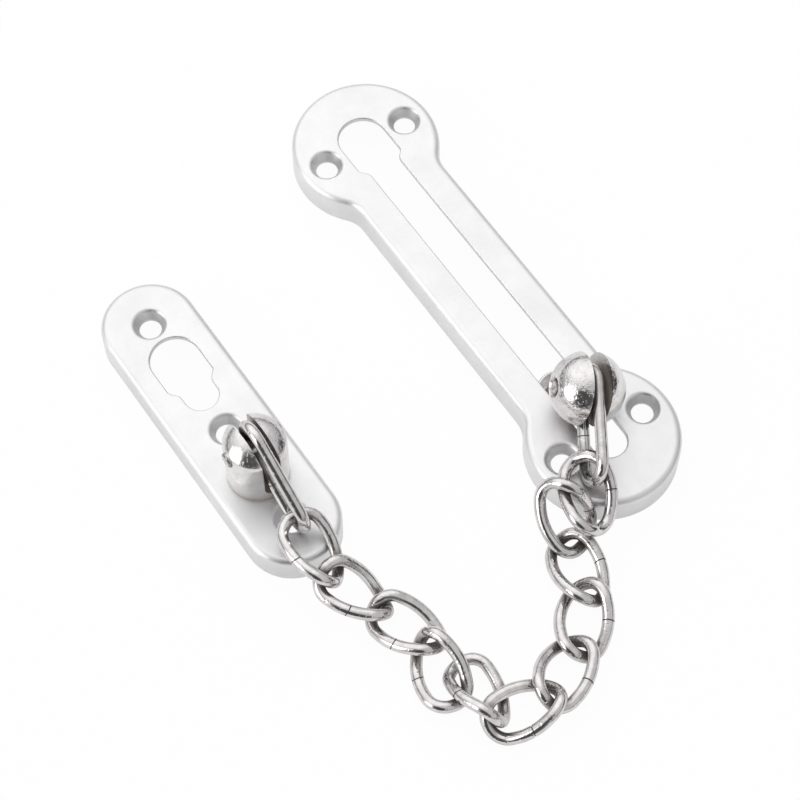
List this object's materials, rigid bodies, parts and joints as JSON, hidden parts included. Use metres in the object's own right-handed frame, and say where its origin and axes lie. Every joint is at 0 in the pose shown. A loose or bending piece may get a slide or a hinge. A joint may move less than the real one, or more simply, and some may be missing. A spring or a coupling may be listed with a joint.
{
  "type": "door security chain",
  "caption": "Door security chain: slotted track plate with a sliding ball, a chain of twisted wire links and a keeper plate with a domed post and a stowing keyhole.",
  "frame": {"origin": "middle of the track plate's open back, on the surface it is screwed to", "axes": "+X along the track towards the slider, +Y across the track away from the keeper, +Z out of the plates"},
  "size_m": [0.1359, 0.0827, 0.0244],
  "materials": {
    "satin_steel": "satin blasted",
    "plain_steel": "as pressed",
    "polished_nickel": "polished"
  },
  "bodies": {
    "track": {"track_plate": "satin_steel"},
    "slider_foot": {"slider_foot": "plain_steel"},
    "slider_ball": {"slider_stud": "polished_nickel", "slider_pin": "polished_nickel"},
    "slider_link": {"slider_link": "polished_nickel"},
    "link_01": {"chain_link_01": "polished_nickel"},
    "link_02": {"chain_link_02": "polished_nickel"},
    "link_03": {"chain_link_03": "polished_nickel"},
    "link_04": {"chain_link_04": "polished_nickel"},
    "link_05": {"chain_link_05": "polished_nickel"},
    "link_06": {"chain_link_06": "polished_nickel"},
    "link_07": {"chain_link_07": "polished_nickel"},
    "link_08": {"chain_link_08": "polished_nickel"},
    "link_09": {"chain_link_09": "polished_nickel"},
    "link_10": {"chain_link_10": "polished_nickel"},
    "link_11": {"chain_link_11": "polished_nickel"},
    "keeper_link": {"keeper_link": "polished_nickel"},
    "keeper": {"keeper_plate": "satin_steel", "keeper_post": "polished_nickel", "keeper_pin": "polished_nickel"}
  },
  "joints": [
    {"name": "slider_slide", "type": "slide", "parent": "track", "child": "slider_foot", "axis": [1, 0, 0], "range_m": [-0.001, 0.01]},
    {"name": "slider_swivel", "type": "hinge", "parent": "slider_foot", "child": "slider_ball", "pos_m": [0.03351, 0.0004, 0.01405], "axis": [0.4924, 0.1047, 0.8641], "range_deg": [-32, 0]},
    {"name": "slider_link_lift", "type": "hinge", "parent": "slider_ball", "child": "slider_link", "pos_m": [0.03351, 0.0004, 0.01405], "axis": [-0.4244, -0.8379, 0.3433], "range_deg": [0, 115]},
    {"name": "link_01_swing", "type": "hinge", "parent": "slider_link", "child": "link_01", "pos_m": [0.04578, -0.00815, 0.0106], "axis": [0, 0, -1], "range_deg": [-14, 2]},
    {"name": "link_02_swing", "type": "hinge", "parent": "link_01", "child": "link_02", "pos_m": [0.05011, -0.01464, 0.00956], "axis": [0, 0, 1], "range_deg": [-7, 10]},
    {"name": "link_03_swing", "type": "hinge", "parent": "link_02", "child": "link_03", "pos_m": [0.05328, -0.01704, 0.0019], "axis": [0, 0, -1], "range_deg": [-10, 18]},
    {"name": "link_04_swing", "type": "hinge", "parent": "link_03", "child": "link_04", "pos_m": [0.06362, -0.02044, 0.00326], "axis": [0, 0, 1], "range_deg": [-14, 40]},
    {"name": "link_05_swing", "type": "hinge", "parent": "link_04", "child": "link_05", "pos_m": [0.07129, -0.02831, 0.00244], "axis": [0, 0, -1], "range_deg": [-36, 10]},
    {"name": "link_06_swing", "type": "hinge", "parent": "link_05", "child": "link_06", "pos_m": [0.07695, -0.03846, 0.00473], "axis": [0, 0, 1], "range_deg": [-6, 36]},
    {"name": "link_07_swing", "type": "hinge", "parent": "link_06", "child": "link_07", "pos_m": [0.07405, -0.05002, 0.00361], "axis": [0, 0, -1], "range_deg": [-32, 14]},
    {"name": "link_08_swing", "type": "hinge", "parent": "link_07", "child": "link_08", "pos_m": [0.06399, -0.05079, 0.0021], "axis": [0, 0, 1], "range_deg": [-10, 40]},
    {"name": "link_09_swing", "type": "hinge", "parent": "link_08", "child": "link_09", "pos_m": [0.05494, -0.04992, 0.00374], "axis": [0, 0, -1], "range_deg": [-40, 22]},
    {"name": "link_10_swing", "type": "hinge", "parent": "link_09", "child": "link_10", "pos_m": [0.04423, -0.05395, 0.00293], "axis": [0, 0, 1], "range_deg": [-26, 22]},
    {"name": "link_11_swing", "type": "hinge", "parent": "link_10", "child": "link_11", "pos_m": [0.03537, -0.05942, 0.00781], "axis": [0, 0, -1], "range_deg": [-40, 4]},
    {"name": "keeper_link_swing", "type": "hinge", "parent": "link_11", "child": "keeper_link", "pos_m": [0.02429, -0.05858, 0.01091], "axis": [0, 0, 1], "range_deg": [-10, 10]},
    {"name": "keeper_tilt", "type": "hinge", "parent": "keeper_link", "child": "keeper", "pos_m": [0.00979, -0.05823, 0.0188], "axis": [0, 1, 0], "range_deg": [0, 60]}
  ]
}
